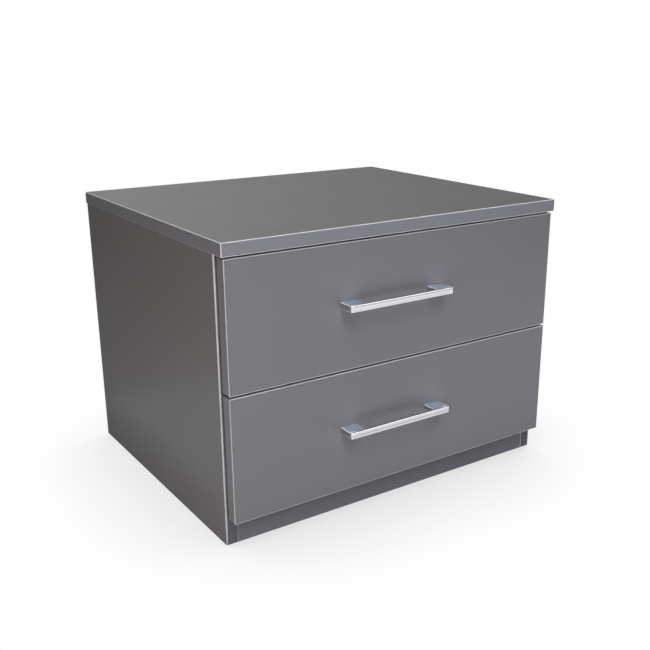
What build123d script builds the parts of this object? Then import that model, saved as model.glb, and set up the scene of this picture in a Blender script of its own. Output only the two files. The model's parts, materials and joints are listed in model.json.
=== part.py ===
from build123d import *
import os

# Bedside cabinet with two drawers on roller runners, in laminated chipboard.
# Millimetres. X runs to the right, Y to the back and Z up.
# The origin is on the floor, under the middle of the overall width and depth.

# Carcass boards
width = 500.0
height = 370.0
top_depth = 422.0
board = 16.0
top_overhang = 20.0
plinth_height = 40.0
back_board = 3.0
back_reveal = 1.0
back_margin = 1.0

# Edge bands and eased edges
band = 1.0
arris = 0.6

# Drawer fronts
front_board = 16.0
front_inset = 3.0
front_clearance = 2.0
front_gap = 2.5
front_above_floor = 35.0
drawer_names = ["lower", "upper"]

# Drawer boxes
box_board = 16.0
box_top_room = 14.8
box_back_room = 50.0
box_bottom = 3.0
groove_depth = 8.0
groove_above_edge = 10.0
groove_room = 0.2
bottom_side_room = 0.5
box_ease = 1.0

# Handles
handle_length = 154.0
handle_height = 8.0
handle_projection = 24.0
handle_offset = -21.0
handle_rise = 4.25
bar_thickness = 4.0
bar_chamfer = 1.2
foot_width = 26.0
foot_flare = 3.0
handle_screw_radius = 2.0
handle_screw_grip = 9.0
handle_screw_head_radius = 4.0
handle_screw_head = 2.4

# Roller runners
runner_gap = 12.5
runner_rise = 29.0
runner_setback = 3.0
runner_sheet = 1.2
runner_flange_room = 1.3
runner_bend = 0.6
runner_screw_first = 37.0
runner_screw_last = 57.0
runner_screw_count = 2
runner_overlap = 100.0
drawer_flange_lift = 1.0
drawer_lip = 13.0
drawer_runner_lift = 2.0
stop_length = 1.2
stop_drop = 5.0
stop_room = 1.0

# Rollers and their axles
roller_radius = 9.0
roller_tip_room = 1.0
roller_sides = 24
roller_hub_radius = 4.5
roller_hub = 0.6
roller_end = 12.0
roller_running_gap = 0.15
roller_headroom = 0.45
axle_radius = 2.5
axle_tail_radius = 2.0
axle_head_radius = 4.0
axle_head = 0.7
axle_play = 0.05
roller_side_play = 0.1

# Joinery
cam_radius = 7.5
cam_floor = 3.5
cam_reach = 34.0
cam_hook = 4.0
cam_end_distance = 50.0
bolt_radius = 3.0
bolt_floor = 5.0
dowel_radius = 4.0
dowel_length = 30.0
dowel_floor = 6.0
dowel_end_room = 0.5
dowel_from_cam = 32.0
box_cam_from_edge = 28.0
box_screw_radius = 2.5
box_screw_length = 45.0
box_screw_head_radius = 4.5
box_screw_head = 2.0
box_screw_from_edge = 30.0
wood_screw_radius = 1.75
wood_screw_floor = 4.2
rail_screw_room = 1.5
wood_screw_head_radius = 3.5
wood_screw_head = 1.5
nail_radius = 0.9
nail_length = 20.0
nail_head_radius = 2.2
nail_head = 0.6
nail_end_distance = 30.0
nails_per_side = 4
nails_along_bottom = 3
pin_sides = 6
disc_sides = 8
fit = 0.05

# Where the boards stand
front_setback = top_overhang - front_clearance - front_board
overall_depth = top_depth + handle_projection - front_setback
half = width / 2
inner_half = half - board
y_top_back = overall_depth / 2
y_top_front = y_top_back - top_depth
y_side_front = y_top_front + top_overhang
y_side_back = y_top_back - back_reveal - back_board
z_under_top = height - board
z_bottom_panel = plinth_height
y_front_back = y_side_front - front_clearance
y_front_face = y_front_back - front_board
front_half = half - front_inset
drawer_count = len(drawer_names)
front_height = (z_under_top - front_above_floor) / drawer_count - front_gap
drawer_pitch = front_height + front_gap

# Where the drawer boxes and runners stand, measured up from a front's lower edge
box_half = inner_half - runner_gap
box_inner_half = box_half - box_board
y_box_back = y_side_back - box_back_room
box_length = y_box_back - y_front_back
runner_length = box_length
drawer_travel = box_length - runner_overlap
runner_flange = runner_gap - runner_sheet - runner_flange_room
drawer_flange = runner_flange - runner_sheet
roller_width = runner_flange - runner_sheet - roller_hub - 2 * roller_side_play - axle_head - roller_tip_room
channel_height = roller_running_gap + 2 * roller_radius + roller_headroom
z_flange_under = runner_rise + channel_height + runner_sheet + drawer_flange_lift
z_box_edge = runner_rise + drawer_runner_lift + runner_sheet
z_groove = z_box_edge + groove_above_edge
groove_height = box_bottom + groove_room
z_box_top = front_height - box_top_room
y_runner_front = y_side_front + runner_setback
y_runner_back = y_runner_front + runner_length
y_cabinet_roller = y_runner_front + roller_end
z_cabinet_roller = z_flange_under - roller_running_gap - roller_radius
y_drawer_roller = y_box_back - roller_end
z_drawer_roller = runner_rise + roller_running_gap + roller_radius
wood_screw_length = runner_sheet + board - wood_screw_floor
rail_screw_length = runner_sheet + groove_above_edge - rail_screw_room
runner_screw_pitch = (runner_length - runner_screw_first - runner_screw_last) / (runner_screw_count - 1)
runner_screw_steps = [runner_screw_first + i * runner_screw_pitch for i in range(runner_screw_count)]

LEFT = -1
RIGHT = 1
sides = {"left": LEFT, "right": RIGHT}


def block(x0, x1, y0, y1, z0, z1):
    """A board or strip, given by its faces."""
    centre = Pos((x0 + x1) / 2, (y0 + y1) / 2, (z0 + z1) / 2)
    return centre * Box(abs(x1 - x0), abs(y1 - y0), abs(z1 - z0))


def pin(start, direction, radius, length, sides_round=pin_sides):
    """A fastener's shank, a disc or the drill for one, from a point along a direction, with flat sides."""
    return extrude(Plane(origin=start, z_dir=direction) * RegularPolygon(radius, sides_round), amount=length)


def round_pin(start, direction, radius, length):
    """A true cylinder from a point along a direction, for a roller's bore and axle."""
    at_start = (Align.CENTER, Align.CENTER, Align.MIN)
    return Plane(origin=start, z_dir=direction) * Cylinder(radius, length, align=at_start)


def against(direction):
    """The opposite direction."""
    return tuple(-d for d in direction)


def disc_pin(start, direction, radius, length, head_radius, head):
    """A headed pin: the head's underside is at the start and the shank runs along the direction."""
    return pin(start, direction, radius, length) + pin(start, against(direction), head_radius, head)


def sunk_screw(start, direction, radius, length, head_radius, head):
    """A screw whose head is let in, flush with the surface at the start."""
    return disc_pin(moved(start, direction, head), direction, radius, length - head, head_radius, head)


def moved(point, direction, distance):
    """A point shifted along a direction."""
    return tuple(p + d * distance for p, d in zip(point, direction))


def eased_strip(strip, axis, end, whole):
    """An edge band with the edges of its outer face eased: all four, or only the two long ones."""
    outer = strip.faces().sort_by(axis)[end]
    edges = outer.edges().sort_by(SortBy.LENGTH)
    return chamfer(edges if whole else edges[-2:], arris)


def section_along_y(path, radii, y0, y1):
    """Folded sheet: a path in X and Z, thickened to its right-hand side and run from y0 to y1."""
    line = FilletPolyline(*path, radius=radii)
    outline = offset(line, amount=-runner_sheet, side=Side.RIGHT, kind=Kind.ARC)
    face = Plane.XZ.offset(-y1) * make_face(outline)
    return extrude(face, amount=y1 - y0)


def group(solids):
    """Like pieces that share one node, kept as separate solids."""
    return Compound(children=[s for piece in solids for s in piece.solids()])


# Joinery between two boards. Each call adds its pieces to a set and returns the drills for the boards.

def cam_joint(kit, joint, into_edge, open_side, edge_board, face_board):
    """A cam lock in the edge board's face, with a bolt through its edge into the face board."""
    bolt_thread = face_board - bolt_floor
    cam_depth = edge_board - cam_floor
    bolt_start = moved(joint, into_edge, -bolt_thread)
    bolt_length = bolt_thread + cam_reach - cam_radius + cam_hook
    face = moved(moved(joint, into_edge, cam_reach), open_side, edge_board / 2)
    inward = against(open_side)
    way_in = pin(moved(bolt_start, into_edge, -fit), into_edge, bolt_radius + fit, bolt_length + 2 * fit)
    kit["cam_locks"].append(pin(face, inward, cam_radius, cam_depth, disc_sides) - way_in)
    kit["cam_bolts"].append(pin(bolt_start, into_edge, bolt_radius, bolt_length))
    in_edge = way_in + pin(face, inward, cam_radius + fit, cam_depth + fit, disc_sides)
    return way_in, in_edge


def dowel_joint(kit, joint, into_edge):
    """A wood dowel across a joint, short in the face of one board and long in the edge of the other."""
    start = moved(joint, into_edge, dowel_floor - board)
    kit["dowels"].append(pin(start, into_edge, dowel_radius, dowel_length))
    drill_start = moved(start, into_edge, -dowel_end_room)
    return pin(drill_start, into_edge, dowel_radius + fit, dowel_length + 2 * dowel_end_room)


# Carcass: top, sides, bottom, plinth and back, with the edge bands on what shows at the front

nodes = {}
kit = {"cam_locks": [], "cam_bolts": [], "dowels": []}

top = block(-half + band, half - band, y_top_front + band, y_top_back, z_under_top, height)
top_front_band = block(-half, half, y_top_front, y_top_front + band, z_under_top, height)
top_bands = [eased_strip(top_front_band, Axis.Y, 0, True)]
for side in sides.values():
    strip = block(side * (half - band), side * half, y_top_front + band, y_top_back, z_under_top, height)
    top_bands.append(eased_strip(strip, Axis.X, 0 if side < 0 else -1, False))

side_panels = {}
carcass_bands = []
for name, side in sides.items():
    side_panels[name] = block(side * inner_half, side * half, y_side_front + band, y_side_back, 0, z_under_top)
    strip = block(side * inner_half, side * half, y_side_front, y_side_front + band, 0, z_under_top)
    carcass_bands.append(eased_strip(strip, Axis.Y, 0, False))

z_bottom_face = z_bottom_panel + board
bottom = block(-inner_half, inner_half, y_side_front + band, y_side_back, z_bottom_panel, z_bottom_face)
strip = block(-inner_half, inner_half, y_side_front, y_side_front + band, z_bottom_panel, z_bottom_face)
carcass_bands.append(eased_strip(strip, Axis.Y, 0, False))
plinth = block(-inner_half, inner_half, y_side_front, y_side_front + board, 0, plinth_height)
back = block(
    -half + back_margin,
    half - back_margin,
    y_side_back,
    y_side_back + back_board,
    z_bottom_panel + back_margin,
    z_under_top - back_margin,
)

cam_rows = [y_side_front + cam_end_distance, y_side_back - cam_end_distance]
dowel_rows = [cam_rows[0] + dowel_from_cam, cam_rows[1] - dowel_from_cam]
UP = (0, 0, 1)
DOWN = (0, 0, -1)
TO_BACK = (0, 1, 0)
TO_FRONT = (0, -1, 0)
for name, side in sides.items():
    inwards = (-side, 0, 0)
    x_side_middle = side * (half - board / 2)
    z_bottom_middle = z_bottom_panel + board / 2
    for y in cam_rows:
        joint = (x_side_middle, y, z_under_top)
        in_top, in_side = cam_joint(kit, joint, DOWN, inwards, board, board)
        top -= in_top
        side_panels[name] -= in_side
        joint = (side * inner_half, y, z_bottom_middle)
        in_side, in_bottom = cam_joint(kit, joint, inwards, DOWN, board, board)
        side_panels[name] -= in_side
        bottom -= in_bottom
    for y in dowel_rows:
        drill = dowel_joint(kit, (x_side_middle, y, z_under_top), DOWN)
        top -= drill
        side_panels[name] -= drill
        drill = dowel_joint(kit, (side * inner_half, y, z_bottom_middle), inwards)
        side_panels[name] -= drill
        bottom -= drill
    joint = (side * inner_half, y_side_front + board / 2, plinth_height / 2)
    in_side, in_plinth = cam_joint(kit, joint, inwards, TO_BACK, board, board)
    side_panels[name] -= in_side
    plinth -= in_plinth
    joint = (side * inner_half / 2, y_side_front + board / 2, plinth_height)
    drill = dowel_joint(kit, joint, DOWN)
    bottom -= drill
    plinth -= drill

# Nails through the back into the rear edges of the sides and of the bottom panel
z_nail_low = z_bottom_face + nail_end_distance
z_nail_step = (z_under_top - nail_end_distance - z_nail_low) / (nails_per_side - 1)
x_nail_step = 2 * (inner_half - nail_end_distance) / (nails_along_bottom - 1)
y_back_face = y_side_back + back_board
nails = []
for name, side in sides.items():
    for i in range(nails_per_side):
        start = (side * (half - board / 2), y_back_face, z_nail_low + i * z_nail_step)
        nails.append(disc_pin(start, TO_FRONT, nail_radius, nail_length, nail_head_radius, nail_head))
        drill = pin(start, TO_FRONT, nail_radius + fit, nail_length + fit)
        back -= drill
        side_panels[name] -= drill
for i in range(nails_along_bottom):
    x = nail_end_distance - inner_half + i * x_nail_step
    start = (x, y_back_face, z_bottom_panel + board / 2)
    nails.append(disc_pin(start, TO_FRONT, nail_radius, nail_length, nail_head_radius, nail_head))
    drill = pin(start, TO_FRONT, nail_radius + fit, nail_length + fit)
    back -= drill
    bottom -= drill


# Roller runners. Everything is drawn for the left side and mirrored for the right.

def for_side(shape, side):
    """A left-hand piece, mirrored where it belongs on the right."""
    return shape if side == LEFT else mirror(shape, about=Plane.YZ)


def roller(x_outer, y, z):
    """A nylon runner wheel on an axis along X, with a low hub on its outer face."""
    x_hub = x_outer - roller_hub
    wheel = pin((x_outer, y, z), (1, 0, 0), roller_radius, roller_width, roller_sides)
    wheel += pin((x_hub, y, z), (1, 0, 0), roller_hub_radius, roller_hub, disc_sides)
    return wheel - round_pin((x_hub, y, z), (1, 0, 0), axle_radius + axle_play, roller_hub + roller_width)


def roller_axle(x_head, x_web, y, z):
    """A rivet: a head, a round shaft for the roller, and a tail through the web whose near face is at x_web."""
    to_web = (1 if x_web > x_head else -1, 0, 0)
    head = pin((x_head, y, z), against(to_web), axle_head_radius, axle_head, disc_sides)
    shaft = round_pin((x_head, y, z), to_web, axle_radius, abs(x_web - x_head))
    return head + shaft + pin((x_web, y, z), to_web, axle_tail_radius, runner_sheet)


def cabinet_runner(z_front_edge):
    """The channel on the carcass side: open to the drawer, cut away on top for its roller, with a stop."""
    x = -inner_half
    z0 = z_front_edge + runner_rise
    low = z0 - runner_sheet
    high = z0 + channel_height + runner_sheet
    tip = x + runner_flange
    path = [(tip, low), (x, low), (x, high), (tip, high)]
    channel = section_along_y(path, runner_bend + runner_sheet, y_runner_front, y_runner_back)
    roller_room = y_cabinet_roller + roller_radius + stop_room
    web = x + runner_sheet
    channel -= block(web, tip + fit, y_runner_front - fit, roller_room, z0 + channel_height - runner_bend, high + fit)
    y_stop = y_drawer_roller - drawer_travel - roller_radius - stop_room
    z_stop = z0 + channel_height
    channel += block(web, tip, y_stop - stop_length, y_stop, z_stop - stop_drop, z_stop)
    axle_z = z_front_edge + z_cabinet_roller
    channel -= pin((x, y_cabinet_roller, axle_z), (1, 0, 0), axle_tail_radius + fit, runner_sheet)
    for step in runner_screw_steps:
        hole = (x, y_runner_front + step, z0 + channel_height / 2)
        channel -= pin(hole, (1, 0, 0), wood_screw_radius + fit, runner_sheet)
    return channel


def drawer_runner(z_front_edge):
    """The drawer's rail: a flange that rides on the carcass roller, a web and a lip under the box side."""
    x = -box_half
    z_edge = z_front_edge + z_box_edge
    z_top = z_front_edge + z_flange_under + runner_sheet
    path = [(x - runner_sheet - drawer_flange, z_top), (x, z_top), (x, z_edge), (x + drawer_lip, z_edge)]
    rail = section_along_y(path, [runner_bend + runner_sheet, runner_bend], y_front_back + runner_sheet, y_box_back)
    axle_z = z_front_edge + z_drawer_roller
    rail -= pin((x - runner_sheet, y_drawer_roller, axle_z), (1, 0, 0), axle_tail_radius + fit, runner_sheet)
    for step in runner_screw_steps:
        hole = (x + box_board / 2, y_front_back + step, z_edge - runner_sheet)
        rail -= pin(hole, UP, wood_screw_radius + fit, runner_sheet)
    return rail


cabinet_axles = []
cabinet_runner_screws = []
for index, drawer in enumerate(drawer_names):
    z_front_edge = front_above_floor + index * drawer_pitch
    z_axle = z_front_edge + z_cabinet_roller
    z_screw = z_front_edge + runner_rise + channel_height / 2
    x_web = -inner_half + runner_sheet
    x_roller = x_web + roller_side_play + roller_hub
    x_axle_head = x_roller + roller_width + roller_side_play
    for name, side in sides.items():
        axle = roller_axle(x_axle_head, x_web, y_cabinet_roller, z_axle)
        cabinet_axles.append(for_side(axle, side))
        wheel = roller(x_roller, y_cabinet_roller, z_axle)
        nodes[f"{drawer}_{name}_cabinet_roller"] = for_side(wheel, side)
        nodes[f"{drawer}_{name}_cabinet_runner"] = for_side(cabinet_runner(z_front_edge), side)
        for step in runner_screw_steps:
            start = (x_web, y_runner_front + step, z_screw)
            screw = disc_pin(
                start, (-1, 0, 0), wood_screw_radius, wood_screw_length, wood_screw_head_radius, wood_screw_head
            )
            cabinet_runner_screws.append(for_side(screw, side))
            drill = pin(start, (-1, 0, 0), wood_screw_radius + fit, wood_screw_length + fit)
            side_panels[name] -= for_side(drill, side)

nodes["top_panel"] = top
nodes["top_edge_bands"] = group(top_bands)
nodes["left_side_panel"] = side_panels["left"]
nodes["right_side_panel"] = side_panels["right"]
nodes["carcass_edge_bands"] = group(carcass_bands)
nodes["bottom_panel"] = bottom
nodes["plinth_board"] = plinth
nodes["back_panel"] = back
nodes["back_panel_nails"] = group(nails)
nodes["carcass_cam_locks"] = group(kit["cam_locks"])
nodes["carcass_cam_bolts"] = group(kit["cam_bolts"])
nodes["carcass_dowels"] = group(kit["dowels"])
nodes["cabinet_roller_axles"] = group(cabinet_axles)
nodes["cabinet_runner_screws"] = group(cabinet_runner_screws)


# Handles: a flat bar on two feet that widen into it

def handle_foot(x_outer, inward, z_middle):
    """A foot whose outer end is flush with the bar's end and whose inner side flares into the bar."""
    y_bar = y_front_face - handle_projection + bar_thickness
    x_base = x_outer + inward * (foot_width - foot_flare)
    x_bar = x_outer + inward * foot_width
    inner_side = Line((x_base, y_front_face), (x_base, y_bar + foot_flare))
    flare = TangentArc((x_base, y_bar + foot_flare), (x_bar, y_bar), tangent=(0, -1))
    rest = Polyline((x_bar, y_bar), (x_outer, y_bar), (x_outer, y_front_face), (x_base, y_front_face))
    plan = make_face([inner_side, flare, *rest.edges()])
    return extrude(Pos(0, 0, z_middle - handle_height / 2) * plan, amount=handle_height, dir=UP)


def handle(prefix, z_front_edge):
    """The bar, its feet and its screws. Returns the drills for the drawer front."""
    z = z_front_edge + front_height / 2 + handle_rise
    y_bar_face = y_front_face - handle_projection
    ends = [handle_offset - handle_length / 2, handle_offset + handle_length / 2]
    bar = block(
        *ends, y_bar_face, y_bar_face + bar_thickness, z - handle_height / 2, z + handle_height / 2
    )
    nodes[f"{prefix}_handle_bar"] = chamfer(bar.faces().sort_by(Axis.Y)[0].edges(), bar_chamfer)
    feet = []
    screws = []
    drills = []
    shank = front_board + handle_screw_grip
    for end, inward in zip(ends, (1, -1)):
        start = (end + inward * foot_width / 2, y_front_back, z)
        drill = pin(start, TO_FRONT, handle_screw_radius + fit, shank + fit)
        feet.append(handle_foot(end, inward, z) - drill)
        screws.append(
            disc_pin(start, TO_FRONT, handle_screw_radius, shank, handle_screw_head_radius, handle_screw_head)
        )
        drills.append(drill)
    nodes[f"{prefix}_handle_feet"] = group(feet)
    nodes[f"{prefix}_handle_screws"] = group(screws)
    return drills


# Drawers: a banded front, a box joined to it with cam locks, and the rails under the box sides

for index, drawer in enumerate(drawer_names):
    prefix = f"{drawer}_drawer"
    z_edge = front_above_floor + index * drawer_pitch
    z_front_top = z_edge + front_height
    kit = {"cam_locks": [], "cam_bolts": []}

    front = block(
        -front_half + band, front_half - band, y_front_face, y_front_back, z_edge + band, z_front_top - band
    )
    front_bands = []
    for side in sides.values():
        strip = block(
            side * (front_half - band), side * front_half, y_front_face, y_front_back, z_edge, z_front_top
        )
        front_bands.append(eased_strip(strip, Axis.X, 0 if side < 0 else -1, True))
    for end, z in ((0, z_edge), (-1, z_front_top - band)):
        strip = block(-front_half + band, front_half - band, y_front_face, y_front_back, z, z + band)
        front_bands.append(eased_strip(strip, Axis.Z, end, False))

    z_low = z_edge + z_box_edge
    z_high = z_edge + z_box_top
    z_slot = z_edge + z_groove
    slot_half = box_inner_half + groove_depth
    slot = block(-slot_half, slot_half, y_front_back - groove_depth, y_box_back, z_slot, z_slot + groove_height)
    front -= slot
    for drill in handle(prefix, z_edge):
        front -= drill

    box_back = block(
        -box_inner_half, box_inner_half, y_box_back - box_board, y_box_back, z_slot + box_bottom, z_high
    )
    bottom_half = slot_half - bottom_side_room
    nodes[f"{prefix}_bottom"] = block(
        -bottom_half,
        bottom_half,
        y_front_back - groove_depth + bottom_side_room,
        y_box_back,
        z_slot,
        z_slot + box_bottom,
    )

    box_screws = []
    runner_screws = []
    axles = []
    for name, side in sides.items():
        x_inner = side * box_inner_half
        x_outer = side * box_half
        panel = block(x_inner, x_outer, y_front_back, y_box_back, z_low, z_high)
        lower_edge = panel.edges().filter_by(Axis.Y).sort_by(Axis.Z)[:2].sort_by(Axis.X)
        panel = chamfer(lower_edge[0 if side < 0 else -1], box_ease)
        panel -= slot
        for z in (z_low + box_cam_from_edge, z_high - box_cam_from_edge):
            joint = (side * (box_half - box_board / 2), y_front_back, z)
            in_front, in_side = cam_joint(kit, joint, TO_BACK, (-side, 0, 0), box_board, front_board)
            front -= in_front
            panel -= in_side
        for z in (z_low + box_screw_from_edge, z_high - box_screw_from_edge):
            start = (x_outer, y_box_back - box_board / 2, z)
            inwards = (-side, 0, 0)
            box_screws.append(
                sunk_screw(
                    start, inwards, box_screw_radius, box_screw_length, box_screw_head_radius, box_screw_head
                )
            )
            drill = sunk_screw(
                start,
                inwards,
                box_screw_radius + fit,
                box_screw_length + fit,
                box_screw_head_radius + fit,
                box_screw_head + fit,
            )
            panel -= drill
            box_back -= drill
        for step in runner_screw_steps:
            start = (side * (box_half - box_board / 2), y_front_back + step, z_low - runner_sheet)
            runner_screws.append(
                disc_pin(start, UP, wood_screw_radius, rail_screw_length, wood_screw_head_radius, wood_screw_head)
            )
            panel -= pin(start, UP, wood_screw_radius + fit, rail_screw_length + fit)
        nodes[f"{prefix}_{name}_side"] = panel
        nodes[f"{prefix}_{name}_runner"] = for_side(drawer_runner(z_edge), side)
        x_web = -box_half - runner_sheet
        x_roller = x_web - roller_side_play - roller_hub - roller_width
        x_axle_head = x_roller - roller_side_play
        z_axle = z_edge + z_drawer_roller
        axle = roller_axle(x_axle_head, x_web, y_drawer_roller, z_axle)
        axles.append(for_side(axle, side))
        wheel = roller(x_roller, y_drawer_roller, z_axle)
        turned = wheel.rotate(Axis((x_roller + roller_width / 2, y_drawer_roller, z_axle), UP), 180)
        nodes[f"{drawer}_{name}_drawer_roller"] = for_side(turned, side)

    nodes[f"{prefix}_front"] = front
    nodes[f"{prefix}_front_bands"] = group(front_bands)
    nodes[f"{prefix}_back"] = box_back
    nodes[f"{prefix}_cam_locks"] = group(kit["cam_locks"])
    nodes[f"{prefix}_cam_bolts"] = group(kit["cam_bolts"])
    nodes[f"{prefix}_box_screws"] = group(box_screws)
    nodes[f"{prefix}_runner_screws"] = group(runner_screws)
    nodes[f"{prefix}_roller_axles"] = group(axles)

os.makedirs("parts", exist_ok=True)
for name, shape in nodes.items():
    export_step(shape, f"parts/{name}.step")
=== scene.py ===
import json
import math
import random

import bmesh
import bpy
import numpy as np
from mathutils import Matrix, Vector


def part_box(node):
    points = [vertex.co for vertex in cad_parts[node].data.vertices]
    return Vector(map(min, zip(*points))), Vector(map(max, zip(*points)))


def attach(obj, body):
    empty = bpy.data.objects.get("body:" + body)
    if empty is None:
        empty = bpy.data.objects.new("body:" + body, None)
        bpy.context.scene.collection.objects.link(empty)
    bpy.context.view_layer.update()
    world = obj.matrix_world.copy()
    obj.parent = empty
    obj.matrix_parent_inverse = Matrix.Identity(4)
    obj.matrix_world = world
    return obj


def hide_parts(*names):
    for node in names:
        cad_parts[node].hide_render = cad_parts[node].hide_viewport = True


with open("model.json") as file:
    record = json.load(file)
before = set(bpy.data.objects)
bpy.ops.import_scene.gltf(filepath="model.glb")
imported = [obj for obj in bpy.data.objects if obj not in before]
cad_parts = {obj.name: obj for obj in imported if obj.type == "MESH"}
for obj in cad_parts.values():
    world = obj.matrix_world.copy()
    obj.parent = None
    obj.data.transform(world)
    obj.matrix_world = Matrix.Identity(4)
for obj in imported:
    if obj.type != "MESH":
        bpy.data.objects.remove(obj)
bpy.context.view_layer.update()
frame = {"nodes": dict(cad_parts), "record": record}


# Carcass boards: the two sides, the bottom panel, the plinth and the top.
# Each is 16 mm chipboard with a graphite melamine film pressed on both faces,
# sawn to size, so the chips show wherever an edge has no band.

def new_finish(name):
    """A new material, its node tree and its surface shader."""
    material = bpy.data.materials.new(name)
    material.use_nodes = True
    return material, material.node_tree, material.node_tree.nodes["Principled BSDF"]


def add(tree, kind, inputs, **settings):
    """Adds a shader node. An input given as a socket is linked, and any other value is set."""
    node = tree.nodes.new("ShaderNode" + kind)
    for setting, value in settings.items():
        setattr(node, setting, value)
    for name, value in inputs.items():
        if isinstance(value, bpy.types.NodeSocket):
            tree.links.new(value, node.inputs[name])
        else:
            node.inputs[name].default_value = value
    return node


def place_on(tree):
    """Where a point lies on the piece, in metres."""
    return add(tree, "TexCoord", {}).outputs["Object"]


def noise(tree, place, scale, detail=3.0):
    """Cloudy noise with that many lumps in a metre, from 0 to 1."""
    return add(tree, "TexNoise", {"Vector": place, "Scale": scale, "Detail": detail}).outputs["Fac"]


def spread(tree, value, to_low, to_high, low=0.3, high=0.7):
    """A value carried from one range to another. The first is the usual range of noise, unless given."""
    inputs = {"Value": value, "From Min": low, "From Max": high, "To Min": to_low, "To Max": to_high}
    return add(tree, "MapRange", inputs).outputs["Result"]


def mix_colour(tree, share, first, second):
    """The first colour where the share is 0, and the second where it is 1."""
    return add(tree, "Mix", {0: share, 6: first, 7: second}, data_type="RGBA").outputs[2]


def mix_value(tree, share, first, second):
    """The first value where the share is 0, and the second where it is 1."""
    return add(tree, "Mix", {0: share, 2: first, 3: second}, data_type="FLOAT").outputs[0]


def calc(tree, operation, first, second=0.0):
    """What an operation, such as ADD or MAXIMUM, makes of one or two values."""
    return add(tree, "Math", {0: first, 1: second}, operation=operation).outputs[0]


def weighted(tree, *values_and_shares):
    """Some values added up, each times its share."""
    total = 0.0
    for value, share in values_and_shares:
        total = calc(tree, "ADD", total, calc(tree, "MULTIPLY", value, share))
    return total


def facing(tree, directions):
    """One where the surface looks along one of the directions, and zero elsewhere."""
    least_cosine = 0.5
    normal = add(tree, "TexCoord", {}).outputs["Normal"]
    found = 0.0
    for direction in directions:
        along = add(tree, "VectorMath", {0: normal, 1: direction}, operation="DOT_PRODUCT").outputs["Value"]
        found = calc(tree, "MAXIMUM", found, calc(tree, "GREATER_THAN", along, least_cosine))
    return found


def lay_on(tree, surface, colour, roughness):
    """Gives a surface a colour and a roughness that differ from place to place."""
    tree.links.new(colour, surface.inputs["Base Color"])
    tree.links.new(roughness, surface.inputs["Roughness"])


def emboss(tree, surface, height, strength, depth):
    """Gives a surface a fine relief, of that depth in metres at full strength."""
    bump = add(tree, "Bump", {"Height": height, "Strength": strength, "Distance": depth})
    tree.links.new(bump.outputs["Normal"], surface.inputs["Normal"])


def film(tree, dark, light, gloss_low, gloss_high):
    """Melamine film with slow clouds, faint upright streaks and specks: colour, roughness and height."""
    streaks_per_metre = (260.0, 260.0, 6.0)
    place = place_on(tree)
    drawn_out = add(tree, "VectorMath", {0: place, 1: streaks_per_metre}, operation="MULTIPLY").outputs[0]
    clouds = noise(tree, place, scale=6.0, detail=4.0)
    streaks = noise(tree, drawn_out, scale=1.0, detail=2.0)
    specks = noise(tree, place, scale=1900.0, detail=1.0)
    smudges = noise(tree, place, scale=16.0, detail=5.0)
    height = noise(tree, place, scale=1100.0, detail=2.0)
    shade = weighted(tree, (clouds, 0.3), (streaks, 0.1), (specks, 0.6))
    colour = mix_colour(tree, spread(tree, shade, 0.0, 1.0), dark, light)
    roughness = spread(tree, smudges, gloss_low, gloss_high)
    return colour, roughness, height


def chips(tree):
    """Sawn chipboard, pale pressed chips with some dark ones: colour, roughness and height."""
    dark_chip = (0.27, 0.165, 0.085, 1.0)
    pale_chip = (0.46, 0.32, 0.19, 1.0)
    sawdust = (0.64, 0.49, 0.32, 1.0)
    place = place_on(tree)
    cells = add(tree, "TexVoronoi", {"Vector": place, "Scale": 620.0}).outputs
    tone = add(tree, "SeparateColor", {"Color": cells["Color"]}).outputs["Red"]
    pale = mix_colour(tree, noise(tree, place, scale=1500.0, detail=2.0), pale_chip, sawdust)
    colour = mix_colour(tree, spread(tree, tone, 0.0, 1.0, low=0.05, high=0.45), dark_chip, pale)
    roughness = spread(tree, tone, 0.8, 0.95, low=0.0, high=1.0)
    return colour, roughness, cells["Distance"]


def laminated_board(name, sheet, film_faces):
    """Chipboard with a film on the faces named, and bare chips on the rest."""
    film_relief = 0.05
    material, tree, surface = new_finish(name)
    film_colour, film_roughness, film_height = film(tree, **sheet)
    chip_colour, chip_roughness, chip_height = chips(tree)
    covered = facing(tree, film_faces)
    colour = mix_colour(tree, covered, chip_colour, film_colour)
    roughness = mix_value(tree, covered, chip_roughness, film_roughness)
    height = mix_value(tree, covered, chip_height, calc(tree, "MULTIPLY", film_height, film_relief))
    lay_on(tree, surface, colour, roughness)
    emboss(tree, surface, height, strength=0.35, depth=0.0004)
    return material


def dress(piece, material):
    """Gives a piece its finish."""
    piece.data.materials.clear()
    piece.data.materials.append(material)


LEFT, RIGHT = (-1, 0, 0), (1, 0, 0)
FRONT, REAR = (0, -1, 0), (0, 1, 0)
DOWN, UP = (0, 0, -1), (0, 0, 1)
graphite = {
    "dark": (0.112, 0.108, 0.108, 1.0),
    "light": (0.130, 0.126, 0.126, 1.0),
    "gloss_low": 0.33,
    "gloss_high": 0.36,
}
side_sheet = {**graphite, "dark": (0.115, 0.106, 0.106, 1.0), "light": (0.133, 0.124, 0.124, 1.0)}
plinth_sheet = {**graphite, "dark": (0.119, 0.119, 0.128, 1.0), "light": (0.138, 0.138, 0.148, 1.0)}
graphite_boards = {
    "left_side_panel": (side_sheet, (LEFT, RIGHT, UP)),
    "right_side_panel": (side_sheet, (LEFT, RIGHT, UP)),
    "bottom_panel": (graphite, (UP, DOWN)),
    "plinth_board": (plinth_sheet, (FRONT, REAR, LEFT, RIGHT)),
    "top_panel": (graphite, (UP, DOWN)),
}
for node, (sheet, film_faces) in graphite_boards.items():
    dress(frame["nodes"][node], laminated_board(f"graphite_film_{node}", sheet, film_faces))


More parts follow.
